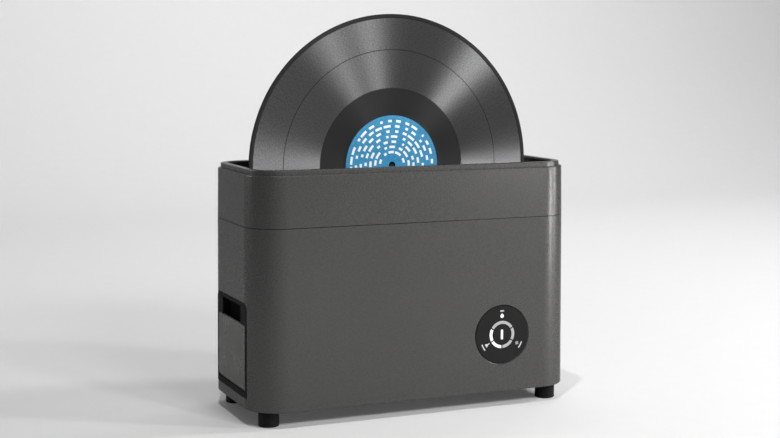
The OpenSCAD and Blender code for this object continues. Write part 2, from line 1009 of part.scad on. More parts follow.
// Armature with the pad that closes the drain
module valve_plunger() {
    color([0.7, 0.7, 0.7])
        translate([valve_x, 0, return_z]) {
            translate([0, 0, -18])
                cylinder(r = armature_r, h = 22);
            translate([0, 0, 3])
                cylinder(r = 5.5, h = 2.9);
        }
}

// Liner of the tank drawer: bezel in the wall, box behind it, two spigots
module tank_bay() {
    t = 2;
    color(deep_black)
        difference() {
            union() {
                intersection() {
                    side_plate(-cut_x, bezel_back + t)
                        port_outline(0.3);
                    behind_left(bezel_inset, 0);
                }
                box([-in_w, -44, port_z0 - 3.5], [-in_w + 2, 44, port_z1 + 3]);
                box([-in_w + 2, -bay_half - t, bay_z0 - t], [bay_end + t, bay_half + t, bay_z1 + t]);
                rod_x(0, pump_z, barb_r, bay_end - 6.8, bay_end + 9);
                rod_x(return_y, return_z, barb_r, bay_end - 6.8, bay_end + 9);
            }
            side_plate(-cut_x, bezel_back)
                port_outline(0.3 + bezel_w);
            difference() {
                box([bezel_back - 1, -bay_half, bay_z0], [bay_end, bay_half, bay_z1]);
                for (y = [-30, 26])
                    box([bezel_back + 2, y, bay_z0 - 1], [bay_end + 1, y + 4, bay_z0 + 0.7]);
                rod_x(0, pump_z, barb_r, bay_end - 6.8, bay_end + 9);
                rod_x(return_y, return_z, barb_r, bay_end - 6.8, bay_end + 9);
            }
            rod_x(0, pump_z, barb_r - 1.2, bay_end - 8, bay_end + 10);
            rod_x(return_y, return_z, barb_r - 1.2, bay_end - 8, bay_end + 10);
        }
}

// Tank of see-through plastic with an open filling mouth on top
module tank_body() {
    t = 2;
    x0 = bezel_back - 0.5;
    half = bay_half - 1;
    z0 = bay_z0 + 1;
    z1 = bay_z1 - 1.5;
    mid = (x0 + tank_end) / 2;
    len = (tank_end - x0) / 2;
    color([0.5, 0.55, 0.6, 0.5])
        difference() {
            translate([mid, 0, z0])
                linear_extrude(z1 - z0)
                    rounded_outline(len, half, 5);
            translate([mid, 0, z0 + t])
                linear_extrude(z1 - z0 - 2 * t)
                    rounded_outline(len - t, half - t, 3);
            translate([mid - 18, 0, z1 - 5])
                linear_extrude(10)
                    rounded_outline(17, 26, 6);
            rod_x(0, pump_z, 6, tank_end - 6, tank_end + 1);
            rod_x(return_y, return_z, 6, tank_end - 6, tank_end + 1);
        }
}

// Black front of the tank drawer with the finger recess
module tank_front() {
    back = bezel_back - 0.5;
    gap = 0.3 + bezel_w + 0.3;
    grip_back = left_face(grip_z1) + grip_depth;
    color(soft_black)
        difference() {
            intersection() {
                side_plate(-cut_x, back)
                    port_outline(gap);
                behind_left(bezel_inset, 0);
            }
            box([-cut_x, -grip_half, grip_z0 - 10], [grip_back, grip_half, grip_z1]);
            box([-cut_x, -panel_half - 0.2, panel_z0 - 0.2], [panel_back, panel_half + 0.2, grip_z0]);
        }
}

// Grey cover of the drawer; its top edge is the lip for the fingers, and it slopes in below
module tank_panel() {
    slope_h = 5;
    bend_h = 2.2;
    bevel = 0.8;
    color([0.36, 0.36, 0.36])
        intersection() {
            side_plate(-cut_x, panel_back)
                translate([0, (panel_z0 + grip_z0) / 2])
                    rounded_outline(panel_half, (grip_z0 - panel_z0) / 2, 1.5);
            front_plate(-half_d, half_d)
                polygon([
                    [panel_back, panel_z0],
                    [left_face(panel_z0) + 1.4, panel_z0],
                    [left_face(panel_z0 + bend_h) + 0.5, panel_z0 + bend_h],
                    [left_face(panel_z0 + slope_h), panel_z0 + slope_h],
                    [left_face(grip_z0 - bevel), grip_z0 - bevel],
                    [left_face(grip_z0) + bevel, grip_z0],
                    [panel_back, grip_z0]
                ]);
        }
}

// Slit valves of soft rubber that close the tank when it is taken out
module tank_ports() {
    color([0.5, 0.2, 0.15])
        for (p = [[0, pump_z], [return_y, return_z]])
            difference() {
                union() {
                    rod_x(p[0], p[1], 5.95, tank_end - 7, tank_end);
                    rod_x(p[0], p[1], 8, tank_end - 7, tank_end - 2);
                }
                rod_x(p[0], p[1], barb_r + 0.4, tank_end - 6, tank_end + 1);
            }
}

// Washable filter block behind the return port
module tank_filter() {
    z0 = bay_z0 + 3;
    color([0.9, 0.9, 0.85])
        difference() {
            box([tank_end - 22, 12, z0], [tank_end - 9, 38, bay_z1 - 4]);
            box([tank_end - 23, 15, z0 + 3], [tank_end - 12, 35, bay_z1 - 7]);
        }
}

// Black holder behind the control disc, with the column for the light ring
module panel_cup() {
    color(deep_black)
        difference() {
            union() {
                difference() {
                    union() {
                        rod_y(panel_x, panel_z, panel_r + 6, -in_d, -in_d + 2);
                        rod_y(panel_x, panel_z, panel_r + 3, -in_d, cup_y);
                    }
                    rod_y(panel_x, panel_z, panel_r + 1, -half_d, cup_y - 2);
                }
                rod_y(panel_x, panel_z, ring_out + 0.1, face_y + 2.6, cup_y);
                for (a = icon_angles)
                    translate([panel_x, 0, panel_z])
                        rotate([0, -a - 60, 0])
                            translate([27, 0, 0])
                                rod_y(0, 0, 2.5, cup_y - 1, board_y);
            }
            rod_y(panel_x, panel_z, ring_in - 0.3, -cut_y, cup_y - 2);
            rod_y(panel_x, panel_z, 3.4, -half_d, cup_y + 1);
            for (a = icon_angles)
                rod_y(panel_x + post_r * cos(a), panel_z + post_r * sin(a), 2.9, cup_y - 3, cup_y + 1);
        }
}

// Five light segments round the power button, with dark gaps between
module light_ring() {
    gap = 1.3;
    color([0.9, 0.9, 0.9])
        translate([panel_x, 0, panel_z])
            front_plate(face_y + 0.2, face_y + 2.6)
                difference() {
                    circle(ring_out);
                    circle(ring_in);
                    for (a = [-90, -30, 30, 150, 210])
                        rotate(a)
                            translate([0, -gap / 2])
                                square([2 * ring_out, gap]);
                }
}

// Outline of the lit bar on the power button
module mark_outline() {
    rounded_outline(1.25, 5, 0.8);
}

module power_button() {
    color(soft_black)
        difference() {
            union() {
                rod_y(panel_x, panel_z, ring_in - 0.6, face_y + 0.3, face_y + 3);
                rod_y(panel_x, panel_z, 3, face_y + 2, board_y - 2);
            }
            translate([panel_x, 0, panel_z])
                front_plate(face_y - 1, face_y + 0.8)
                    mark_outline();
        }
}

// One soft key with three touch points, one behind each icon
module key_ring() {
    color(soft_black)
        difference() {
            union() {
                rod_y(panel_x, panel_z, key_r, face_y + 0.3, face_y + 2.8);
                for (a = icon_angles)
                    rod_y(panel_x + post_r * cos(a), panel_z + post_r * sin(a), 2.5, face_y + 2, board_y - 2);
            }
            rod_y(panel_x, panel_z, ring_out + 0.4, face_y - 1, face_y + 5);
            translate([panel_x, 0, panel_z])
                front_plate(face_y - 1, face_y + 0.8)
                    icons_outline();
        }
}

// Water drop, brush and air wheel, each with a short arc outside it
module icons_outline() {
    drop_r = 18.75;
    brush_r = 16;
    wheel_r = 19.5;
    translate([0, drop_r]) {
        circle(1.95);
        polygon([[-1.7, 0.9], [1.7, 0.9], [0, 2.7]]);
    }
    rotate(120)
        translate([0, brush_r]) {
            translate([-0.55, 0])
                square([1.1, 2.8]);
            polygon([[-1.1, 2.6], [1.1, 2.6], [2, 5], [-2, 5]]);
        }
    rotate(240)
        translate([0, wheel_r])
            for (i = [0 : 3])
                rotate(i * 90)
                    translate([1.1, 0])
                        circle(0.85);
    for (a = icon_angles)
        arc_bar(a, a == 90 ? 5.2 : 8.5);
}

// Short curved bar outside an icon, reaching to both sides of an angle
module arc_bar(middle, reach) {
    inner = 23.3;
    outer = 24.5;
    steps = 6;
    turns = [for (i = [0 : steps]) middle - reach + 2 * reach * i / steps];
    polygon(concat(
        [for (a = turns) [outer * cos(a), outer * sin(a)]],
        [for (i = [steps : -1 : 0]) [inner * cos(turns[i]), inner * sin(turns[i])]]
    ));
}

// Clear bar set into the power button
module power_mark() {
    color([0.95, 0.95, 0.95])
        translate([panel_x, 0, panel_z])
            front_plate(face_y + 0.35, face_y + 0.8)
                mark_outline();
}

// Clear inlays of the key: three icons and their arcs
module key_icons() {
    color([0.95, 0.95, 0.95])
        translate([panel_x, 0, panel_z])
            front_plate(face_y + 0.35, face_y + 0.8)
                icons_outline();
}

// Small circuit board with one switch behind each touch point
module panel_board() {
    color(board_green) {
        translate([panel_x, 0, panel_z])
            front_plate(board_y, board_y + 1.6)
                rounded_outline(34, 32, 3);
        for (a = icon_angles)
            translate([panel_x + post_r * cos(a), 0, panel_z + post_r * sin(a)])
                front_plate(board_y - 1, board_y)
                    square(6, center = true);
        translate([panel_x, 0, panel_z])
            front_plate(board_y - 1, board_y)
                square(6, center = true);
    }
}

// Finned block that cools the power switches, between its lowest and highest corners
module heat_sink(a, b) {
    foot_t = 3;
    fins = 7;
    fin_t = 1.2;
    pitch = (b[0] - a[0] - fin_t) / (fins - 1);
    box(a, [b[0], b[1], a[2] + foot_t]);
    for (i = [0 : fins - 1])
        box([a[0] + i * pitch, a[1], a[2]], [a[0] + i * pitch + fin_t, b[1], b[2]]);
}

// Transformer: two yokes joined by a core, with the winding round it
module transformer(x, y, z) {
    half = 11;
    height = 17;
    yoke = 4;
    for (lift = [0, height - yoke])
        translate([x - half, y - half - 2, z + lift])
            cube([2 * half, 2 * (half + 2), yoke]);
    translate([x, y, z + 1])
        cylinder(r = half - 1.5, h = height - 2);
    for (s = [-1, 1])
        translate([x - 4, y + s * half - 2, z + 1])
            cube([8, 4, height - 2]);
}

// Row of terminals with one opening for each lead
module terminal_row(x, y, z, cells) {
    pitch = 5;
    difference() {
        box([x, y, z], [x + 8, y + cells * pitch, z + 9]);
        for (i = [0 : cells - 1])
            box([x - 1, y + i * pitch + 1, z + 2], [x + 5, y + (i + 1) * pitch - 1, z + 6.5]);
    }
}

// Upright control board on the back wall, with its parts towards the front
module control_board() {
    back = in_d - 6;
    front = back - 1.6;
    x0 = -150;
    x1 = -118;
    z0 = 100;
    z1 = 180;
    box([x0, front, z0], [x1, back, z1]);
    for (x = [-134, -122], z = [z0 + 4, z1 - 4])
        rod_y(x, z, 2.5, back, in_d);
    box([-142, back - 12, 110], [-126, front, 128]);
    box([-142, front - 2, 133], [-128, front, 147]);
    for (i = [0 : 2])
        rod_y(-140 + i * 9, 157, 3.6, back - 14, front);
    for (i = [0 : 3])
        box([x0 + 2.5 + i * 7.2, front - 6, 166], [x0 + 8.3 + i * 7.2, front, 172]);
}

// Flat ultrasonic driver board on the base
module driver_board() {
    floor_z = base_z + base_t;
    lift_z = floor_z + 6;
    top = lift_z + 1.6;
    box([46, -48, lift_z], [150, 18, top]);
    for (x = [50, 146], y = [-44, 14])
        translate([x, y, floor_z])
            cylinder(r = 2.5, h = 6);
    transformer(72, -6, top);
    heat_sink([124, -36, top], [143, 8, top + 22]);
    terminal_row(52, -42, top, 4);
    for (i = [0 : 2])
        translate([93 + i * 11, 8, top])
            cylinder(r = 5, h = 14);
    for (i = [0 : 1])
        box([92 + i * 14, -24, top], [102 + i * 14, -14, top + 2]);
}

// Control board and driver board with what stands on them
module circuit_boards() {
    color(board_green) {
        control_board();
        driver_board();
    }
}

// Round power socket in the back wall
module dc_inlet() {
    color(deep_black)
        difference() {
            union() {
                rod_y(jack_x, jack_z, 5.9, in_d - 1, jack_y);
                box([jack_x - 7, in_d - 11, jack_z - 7], [jack_x + 7, in_d, jack_z + 7]);
            }
            difference() {
                rod_y(jack_x, jack_z, 2.75, jack_y - 10, jack_y + 1);
                rod_y(jack_x, jack_z, 1, jack_y - 12, jack_y - 1);
            }
        }
}

// Vinyl disc: thick at the label and the outer bead, thinner between
module record_disc() {
    edge = 1;
    play = 0.75;
    hole = 3.63;
    half_profile = [
        [label_r + 1, edge], [label_r + 3, play], [record_r - 4, play],
        [record_r - 3, edge], [record_r - 0.4, edge], [record_r, edge - 0.4]
    ];
    last = len(half_profile) - 1;
    color([0.08, 0.08, 0.08])
        translate([0, 0, record_z])
            rotate([90, 0, 0])
                rotate_extrude($fn = 180)
                    polygon(concat(
                        [[hole, edge]],
                        half_profile,
                        [for (i = [last : -1 : 0]) [half_profile[i][0], -half_profile[i][1]]],
                        [[hole, -edge]]
                    ));
}

// Paper labels on both sides
module record_labels() {
    hole = 3.63;
    color([0.1, 0.45, 0.8])
        for (y = [-1.1, 1])
            difference() {
                rod_y(0, record_z, label_r, y, y + 0.1);
                rod_y(0, record_z, hole, y - 1, y + 1);
            }
}

lower_shell();
upper_shell();
base_plate();
foot(-1, -1);  // foot_front_left
foot(1, -1);  // foot_front_right
foot(-1, 1);  // foot_back_left
foot(1, 1);  // foot_back_right
foot_screws();
base_screws();
slot_funnel();
record_guides();
basin_gasket();
basin();
nozzle(-1, blower_front_x);  // nozzle_front
nozzle(1, blower_back_x);  // nozzle_back
blower(-1, blower_front_x);  // blower_front
blower(1, blower_back_x);  // blower_back
blower_motors();
impeller(-1, blower_front_x);  // impeller_front
impeller(1, blower_back_x);  // impeller_back
transducer_fronts();
transducer_rings();
transducer_tails();
roller_bushings();
roller_hub(roller_x);  // drive_roller
roller_tyre(roller_x);  // drive_tyre
drive_shaft();
spur_gear();
roller_hub(-roller_x);  // idle_roller
roller_tyre(-roller_x);  // idle_tyre
idle_shaft();
pinion();
drive_motor();
motor_bracket();
pump_body();
pump_motor();
pump_rotor();
suction_hose();
basin_hoses();
return_hose();
valve_body();
valve_coil();
valve_plunger();
tank_bay();
tank_body();
tank_front();
tank_panel();
tank_ports();
tank_filter();
panel_cup();
light_ring();
power_button();
power_mark();
key_ring();
key_icons();
panel_board();
circuit_boards();
dc_inlet();
record_disc();
record_labels();
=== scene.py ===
import json
import math

import bpy
from mathutils import Matrix, Vector


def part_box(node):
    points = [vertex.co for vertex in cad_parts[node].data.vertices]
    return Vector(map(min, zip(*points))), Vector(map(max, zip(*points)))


# Upright cleaning machine for vinyl records: materials, light and camera.
# Sizes are metres in the frame of the CAD model, +Z up, -Y the front.

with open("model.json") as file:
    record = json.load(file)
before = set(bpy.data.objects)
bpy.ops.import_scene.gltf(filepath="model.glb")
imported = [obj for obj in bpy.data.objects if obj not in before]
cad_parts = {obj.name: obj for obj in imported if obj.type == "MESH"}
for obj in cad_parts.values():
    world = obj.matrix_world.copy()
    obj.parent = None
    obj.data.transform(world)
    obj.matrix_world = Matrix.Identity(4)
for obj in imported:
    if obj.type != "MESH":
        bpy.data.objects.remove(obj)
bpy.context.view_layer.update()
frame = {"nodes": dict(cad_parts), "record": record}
record = frame["record"]
nodes = frame["nodes"]

# Places worked out from the CAD nodes: record, label, control disc and drawer
disc_low, disc_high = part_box("record_disc")
spindle_z = (disc_low[2] + disc_high[2]) / 2
record_r = (disc_high[0] - disc_low[0]) / 2
label_low, label_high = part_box("record_labels")
label_r = (label_high[0] - label_low[0]) / 2
key_low, key_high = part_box("key_ring")
panel_x = (key_low[0] + key_high[0]) / 2
panel_z = (key_low[2] + key_high[2]) / 2
lamp_front_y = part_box("light_ring")[0][1]
tank_front_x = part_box("tank_front")[0][0]


class Finish:
    """A material with one Principled shader and the nodes that feed it."""

    def __init__(self, name, color, roughness, metallic=0.0):
        self.material = bpy.data.materials.new(name)
        self.material.use_nodes = True
        self.tree = self.material.node_tree
        self.shader = self.tree.nodes["Principled BSDF"]
        self.set(base=color, roughness=roughness, metallic=metallic)
        self.place = self.node("ShaderNodeTexCoord").outputs["Object"]

    def set(self, base=None, roughness=None, metallic=None, **sockets):
        """Plain values on the shader's own sockets."""
        if base is not None:
            self.shader.inputs["Base Color"].default_value = (*base, 1.0)
        if roughness is not None:
            self.shader.inputs["Roughness"].default_value = roughness
        if metallic is not None:
            self.shader.inputs["Metallic"].default_value = metallic
        for name, value in sockets.items():
            self.shader.inputs[name.replace("_", " ")].default_value = value
        return self

    def node(self, kind, **settings):
        """A new shader node with some of its settings."""
        made = self.tree.nodes.new(kind)
        for name, value in settings.items():
            setattr(made, name, value)
        return made

    def link(self, source, target):
        """Joins an output to an input."""
        self.tree.links.new(source, target)

    def math(self, operation, first, second=None):
        """Output of a math node; a number or another output on each side."""
        made = self.node("ShaderNodeMath", operation=operation)
        for socket, value in zip(made.inputs, (first, second)):
            if value is None:
                continue
            if isinstance(value, (int, float)):
                socket.default_value = value
            else:
                self.link(value, socket)
        return made.outputs[0]

    def split(self):
        """The three object coordinates, as outputs."""
        made = self.node("ShaderNodeSeparateXYZ")
        self.link(self.place, made.inputs[0])
        return made.outputs["X"], made.outputs["Y"], made.outputs["Z"]

    def distance(self, x, y):
        """Length of a flat offset whose two parts are outputs."""
        square = self.math("ADD", self.math("MULTIPLY", x, x), self.math("MULTIPLY", y, y))
        return self.math("SQRT", square)

    def between(self, value, low, high):
        """One where an output lies between two numbers, and nought elsewhere."""
        above = self.math("GREATER_THAN", value, low)
        below = self.math("LESS_THAN", value, high)
        return self.math("MULTIPLY", above, below)

    def stretched(self, x, y, z):
        """Object coordinates scaled apart on each axis."""
        made = self.node("ShaderNodeMapping")
        made.inputs["Scale"].default_value = (x, y, z)
        self.link(self.place, made.inputs["Vector"])
        return made.outputs["Vector"]

    def noise(self, scale, detail=3.0, vector=None):
        """Noise with so many waves in a metre."""
        made = self.node("ShaderNodeTexNoise")
        made.inputs["Scale"].default_value = scale
        made.inputs["Detail"].default_value = detail
        self.link(vector or self.place, made.inputs["Vector"])
        return made.outputs["Fac"]

    def ramp(self, factor, stops):
        """Colour ramp from (place, colour or grey) stops."""
        made = self.node("ShaderNodeValToRGB")
        self.link(factor, made.inputs["Fac"])
        band = made.color_ramp
        while len(band.elements) < len(stops):
            band.elements.new(0.5)
        for element, (place, color) in zip(band.elements, stops):
            element.position = place
            full = grey(color) if isinstance(color, float) else color
            element.color = (*full, 1.0)
        return made.outputs["Color"]

    def tones(self, factor, color, low, high):
        """The colour made darker or lighter, from one factor to the other."""
        return self.ramp(factor, [(0.3, shade(color, low)), (0.7, shade(color, high))])

    def mix(self, factor, low, high):
        """Mix of two colours or colour outputs."""
        made = self.node("ShaderNodeMix", data_type="RGBA")
        if isinstance(factor, float):
            made.inputs["Factor"].default_value = factor
        else:
            self.link(factor, made.inputs["Factor"])
        for name, value in (("A", low), ("B", high)):
            socket = [s for s in made.inputs if s.name == name and s.type == "RGBA"][0]
            if isinstance(value, tuple):
                socket.default_value = (*value, 1.0)
            else:
                self.link(value, socket)
        return [s for s in made.outputs if s.type == "RGBA"][0]

    def color_from(self, output):
        """Lets an output set the base colour."""
        self.link(output, self.shader.inputs["Base Color"])

    def roughness_from(self, factor, low, high):
        """Lets a factor set the roughness between two values."""
        self.link(self.ramp(factor, [(0.3, low), (0.7, high)]), self.shader.inputs["Roughness"])

    def bump_from(self, height, distance, strength=1.0):
        """Lets an output raise the surface by up to a distance."""
        made = self.node("ShaderNodeBump")
        made.inputs["Strength"].default_value = strength
        made.inputs["Distance"].default_value = distance
        self.link(height, made.inputs["Height"])
        self.link(made.outputs["Normal"], self.shader.inputs["Normal"])


def grey(level):
    """A grey of one level."""
    return (level, level, level)


def shade(color, amount):
    """The colour, lighter or darker by a factor."""
    return tuple(min(1.0, part * amount) for part in color)


def painted(name, color, roughness, metallic, speck=0.07, gloss=0.15):
    """Satin metallic paint: fine specks, a slight cloudiness and orange peel."""
    flake_scale = 1500.0
    cloud_scale = 9.0
    sheen_scale = 700.0
    peel_scale = 900.0
    peel_depth = 0.00004
    finish = Finish(name, color, roughness, metallic)
    finish.set(Specular_IOR_Level=gloss, Specular_Tint=(*grey(0.45), 1.0))
    flakes = finish.noise(flake_scale, 2.0)
    flecked = finish.ramp(flakes, [(0.35, shade(color, 1.0 - speck)), (0.65, shade(color, 1.0 + speck))])
    cloudy = finish.tones(finish.noise(cloud_scale, 3.0), color, 0.94, 1.06)
    finish.color_from(finish.mix(0.5, flecked, cloudy))
    finish.roughness_from(finish.noise(sheen_scale, 2.0), roughness - 0.04, roughness + 0.05)
    finish.bump_from(finish.noise(peel_scale, 2.0), peel_depth, 0.2)
    return finish.material


def moulded(name, color, roughness, grain=1200.0, depth=0.00005, gloss=0.2):
    """Moulded plastic with a fine spark-eroded grain and faint handling wear."""
    wear_scale = 35.0
    sheen_scale = 60.0
    finish = Finish(name, color, roughness)
    finish.set(Specular_IOR_Level=gloss)
    finish.color_from(finish.tones(finish.noise(wear_scale, 4.0), color, 0.9, 1.12))
    finish.roughness_from(finish.noise(sheen_scale, 3.0), roughness - 0.06, roughness + 0.06)
    finish.bump_from(finish.noise(grain, 2.0), depth, 0.4)
    return finish.material


def recessed(name, color, roughness):
    """Black plastic of the drawer's front, with painted shade at the back of the finger recess, which is
    also dull there.
    """
    recess_depth = 0.0062
    painted_recess_shade = 0.2
    wear_scale = 35.0
    grain = 1200.0
    grain_depth = 0.00005
    finish = Finish(name, color, roughness)
    finish.set(Specular_IOR_Level=0.03)
    x = finish.split()[0]
    # Painted shade: beyond this depth the back of the finger recess is much darker and fully rough
    recess_shade_mask = finish.math("GREATER_THAN", x, tank_front_x + recess_depth)
    worn = finish.tones(finish.noise(wear_scale, 4.0), color, 0.9, 1.12)
    finish.color_from(finish.mix(recess_shade_mask, worn, shade(color, painted_recess_shade)))
    finish.link(finish.ramp(recess_shade_mask, [(0.0, roughness), (1.0, 1.0)]), finish.shader.inputs["Roughness"])
    finish.bump_from(finish.noise(grain, 2.0), grain_depth, 0.4)
    return finish.material


def rubber(name, color, roughness=0.75, gloss=0.3):
    """Dull rubber with a slightly dusty, uneven surface."""
    dust_scale = 120.0
    skin_scale = 800.0
    skin_depth = 0.0001
    finish = Finish(name, color, roughness)
    finish.set(Specular_IOR_Level=gloss)
    dust = finish.noise(dust_scale, 5.0)
    finish.color_from(finish.ramp(dust, [(0.35, color), (0.8, shade(color, 1.5))]))
    finish.roughness_from(dust, roughness - 0.08, roughness + 0.1)
    finish.bump_from(finish.noise(skin_scale, 3.0), skin_depth, 0.4)
    return finish.material


def turned(name, color, roughness):
    """Machined metal with fine tool marks and a little staining."""
    mark_scale = 900.0
    mark_stretch = 8.0
    mark_depth = 0.00003
    stain_scale = 45.0
    finish = Finish(name, color, roughness, 1.0)
    marks = finish.noise(mark_scale, 2.0, finish.stretched(1.0, mark_stretch, 1.0))
    finish.color_from(finish.tones(finish.noise(stain_scale, 4.0), color, 0.85, 1.0))
    finish.roughness_from(marks, roughness - 0.08, roughness + 0.1)
    finish.bump_from(marks, mark_depth, 0.4)
    return finish.material


def see_through(name, color, roughness, clearness):
    """Smoked or milky plastic that light passes."""
    haze_scale = 80.0
    wave_scale = 30.0
    wave_depth = 0.0002
    finish = Finish(name, color, roughness)
    finish.set(Transmission_Weight=clearness, IOR=1.49)
    finish.roughness_from(finish.noise(haze_scale, 4.0), roughness, roughness + 0.12)
    finish.bump_from(finish.noise(wave_scale, 2.0), wave_depth, 0.3)
    return finish.material


def felt(name, color):
    """Non-woven filter cloth."""
    fibre_scale = 1400.0
    fibre_stretch = 3.0
    fibre_depth = 0.0004
    finish = Finish(name, color, 0.95)
    fibres = finish.noise(fibre_scale, 6.0, finish.stretched(1.0, fibre_stretch, 1.0))
    finish.color_from(finish.tones(fibres, color, 0.75, 1.0))
    finish.bump_from(fibres, fibre_depth, 0.8)
    return finish.material


def circuit(name, color):
    """Solder mask with lighter tracks in a fine grid."""
    grid_scale = 260.0
    track_w = 0.05
    skin_scale = 500.0
    skin_depth = 0.0001
    finish = Finish(name, color, 0.35)
    tracks = finish.node("ShaderNodeTexBrick")
    tracks.inputs["Scale"].default_value = grid_scale
    tracks.inputs["Mortar Size"].default_value = track_w
    tracks.inputs["Color1"].default_value = (*color, 1.0)
    tracks.inputs["Color2"].default_value = (*shade(color, 0.8), 1.0)
    tracks.inputs["Mortar"].default_value = (*shade(color, 1.9), 1.0)
    finish.link(finish.place, tracks.inputs["Vector"])
    finish.color_from(tracks.outputs["Color"])
    finish.bump_from(finish.noise(skin_scale, 2.0), skin_depth, 0.4)
    return finish.material


def lamp_cover(name):
    """Frosted light guides: two parts of the ring and the drop are lit, the other marks are greyer."""
    lit = 1.0
    ring_grey = 0.4
    arc_grey = 0.62
    wheel_grey = 0.34
    brush_grey = 0.6
    dark = 0.01
    strength = 0.55
    # The unlit part of the ring
    ring_in = 0.0103
    ring_out = 0.0145
    unlit_from = math.radians(-90)
    unlit_to = math.radians(150)
    # The outer arcs, and the air wheel and brush at equal distances from the middle
    arcs_in = 0.0229
    icon_x = 0.0169
    icon_z = -0.00975
    wheel_r = 0.003
    brush_r = 0.0035
    # Deeper than this behind the front are only the sides of the light guides
    skin = 0.0003
    frost_scale = 900.0
    frost_depth = 0.00004
    finish = Finish(name, grey(0.4), 0.5)
    x, y, z = finish.split()
    across = finish.math("SUBTRACT", x, panel_x)
    up = finish.math("SUBTRACT", z, panel_z)
    reach = finish.distance(across, up)
    angle = finish.math("ARCTAN2", up, across)
    on_ring = finish.between(reach, ring_in, ring_out)
    unlit = finish.math("MULTIPLY", on_ring, finish.between(angle, unlit_from, unlit_to))
    above_icons = finish.math("SUBTRACT", up, icon_z)
    to_wheel = finish.distance(finish.math("SUBTRACT", across, icon_x), above_icons)
    to_brush = finish.distance(finish.math("ADD", across, icon_x), above_icons)
    glow = finish.mix(unlit, grey(lit), grey(ring_grey))
    glow = finish.mix(finish.math("GREATER_THAN", reach, arcs_in), glow, grey(arc_grey))
    glow = finish.mix(finish.math("LESS_THAN", to_wheel, wheel_r), glow, grey(wheel_grey))
    glow = finish.mix(finish.math("LESS_THAN", to_brush, brush_r), glow, grey(brush_grey))
    # The sides of the light guides get a near-black colour and no glow: painted shade in the gaps
    # between the lit parts
    glow = finish.mix(finish.math("GREATER_THAN", y, lamp_front_y + skin), glow, grey(dark))
    finish.color_from(finish.mix(0.5, glow, grey(dark)))
    finish.link(glow, finish.shader.inputs["Emission Color"])
    finish.set(Emission_Strength=strength)
    finish.bump_from(finish.noise(frost_scale, 2.0), frost_depth, 0.3)
    return finish.material


def polar(finish):
    """Distance from the record's middle and angle round it, as two outputs."""
    x, _, z = finish.split()
    up = finish.math("SUBTRACT", z, spindle_z)
    return finish.distance(x, up), finish.math("ARCTAN2", up, x)


def vinyl(name):
    """Grooved vinyl: silky grooves, smooth run-out, one gap between tracks, a plain outer bead."""
    run_out_r = 0.0775
    track_gap_r = 0.1155
    gap_half = 0.0004
    bead_r = record_r - 0.0042
    groove = (0.1, 0.1, 0.102)
    groove_roughness = 0.36
    smooth = grey(0.011)
    smooth_roughness = 0.7
    waves_across = 1200.0
    waves_round = 60.0
    grain_depth = 0.00005
    finish = Finish(name, groove, groove_roughness, 0.6)
    reach, angle = polar(finish)
    inside = finish.math("LESS_THAN", reach, run_out_r)
    outside = finish.math("GREATER_THAN", reach, bead_r)
    on_gap = finish.between(reach, track_gap_r - gap_half, track_gap_r + gap_half)
    plain = finish.math("MAXIMUM", finish.math("MAXIMUM", inside, outside), on_gap)
    flat = finish.node("ShaderNodeCombineXYZ")
    finish.link(finish.math("MULTIPLY", reach, waves_across), flat.inputs["X"])
    finish.link(finish.math("MULTIPLY", angle, waves_round), flat.inputs["Y"])
    grain = finish.noise(1.0, 4.0, flat.outputs[0])
    finish.color_from(finish.mix(plain, finish.tones(grain, groove, 0.7, 1.35), smooth))
    roughness = finish.ramp(plain, [(0.0, groove_roughness), (1.0, smooth_roughness)])
    finish.link(roughness, finish.shader.inputs["Roughness"])
    finish.link(finish.ramp(plain, [(0.0, 0.9), (1.0, 0.0)]), finish.shader.inputs["Metallic"])
    # The grooves run round the record's axis and spread light across themselves
    round_axis = finish.node("ShaderNodeTangent", direction_type="RADIAL", axis="Y")
    finish.link(round_axis.outputs[0], finish.shader.inputs["Tangent"])
    finish.set(Anisotropic=1.0, Anisotropic_Rotation=0.25, Specular_IOR_Level=0.3)
    finish.bump_from(grain, grain_depth, 0.3)
    return finish.material


def printed_label(name):
    """Generic label: rings of white dashes and dots on blue paper."""
    blue = (0.008, 0.2, 0.4)
    pale_blue = (0.02, 0.27, 0.5)
    white = (0.85, 0.88, 0.9)
    ring_w = 0.0052
    hole_r = 0.0046
    bare_edge = 0.0016
    # Dashes in the innermost ring, and how many more each next ring has
    first_count = 4.0
    more_each = 3.0
    # Turn of each ring against the last one, and a dash's length and thickness as shares of its room
    twist = 0.37
    shortest = 0.2
    length_spread = 0.65
    thick_from = 0.3
    thick_to = 0.78
    mottle_scale = 300.0
    grain_scale = 900.0
    grain_depth = 0.00004
    finish = Finish(name, blue, 0.55)
    reach, angle = polar(finish)
    rings = finish.math("DIVIDE", reach, ring_w)
    ring = finish.math("FLOOR", rings)
    turn = finish.math("DIVIDE", angle, 2 * math.pi)
    count = finish.math("ADD", finish.math("MULTIPLY", ring, more_each), first_count)
    step = finish.math("ADD", finish.math("MULTIPLY", turn, count), finish.math("MULTIPLY", ring, twist))
    key = finish.node("ShaderNodeCombineXYZ")
    finish.link(ring, key.inputs["X"])
    finish.link(finish.math("FLOOR", step), key.inputs["Y"])
    chance = finish.node("ShaderNodeTexWhiteNoise", noise_dimensions="2D")
    finish.link(key.outputs[0], chance.inputs["Vector"])
    spread = finish.math("MULTIPLY", chance.outputs["Value"], length_spread)
    length = finish.math("ADD", spread, shortest)
    on_dash = finish.math("LESS_THAN", finish.math("FRACT", step), length)
    on_band = finish.between(finish.math("FRACT", rings), thick_from, thick_to)
    on_print = finish.between(reach, hole_r + ring_w, label_r - bare_edge)
    marked = finish.math("MULTIPLY", finish.math("MULTIPLY", on_dash, on_band), on_print)
    paper = finish.ramp(finish.noise(mottle_scale, 4.0), [(0.3, blue), (0.7, pale_blue)])
    finish.color_from(finish.mix(marked, paper, white))
    finish.bump_from(finish.noise(grain_scale, 4.0), grain_depth, 0.4)
    return finish.material


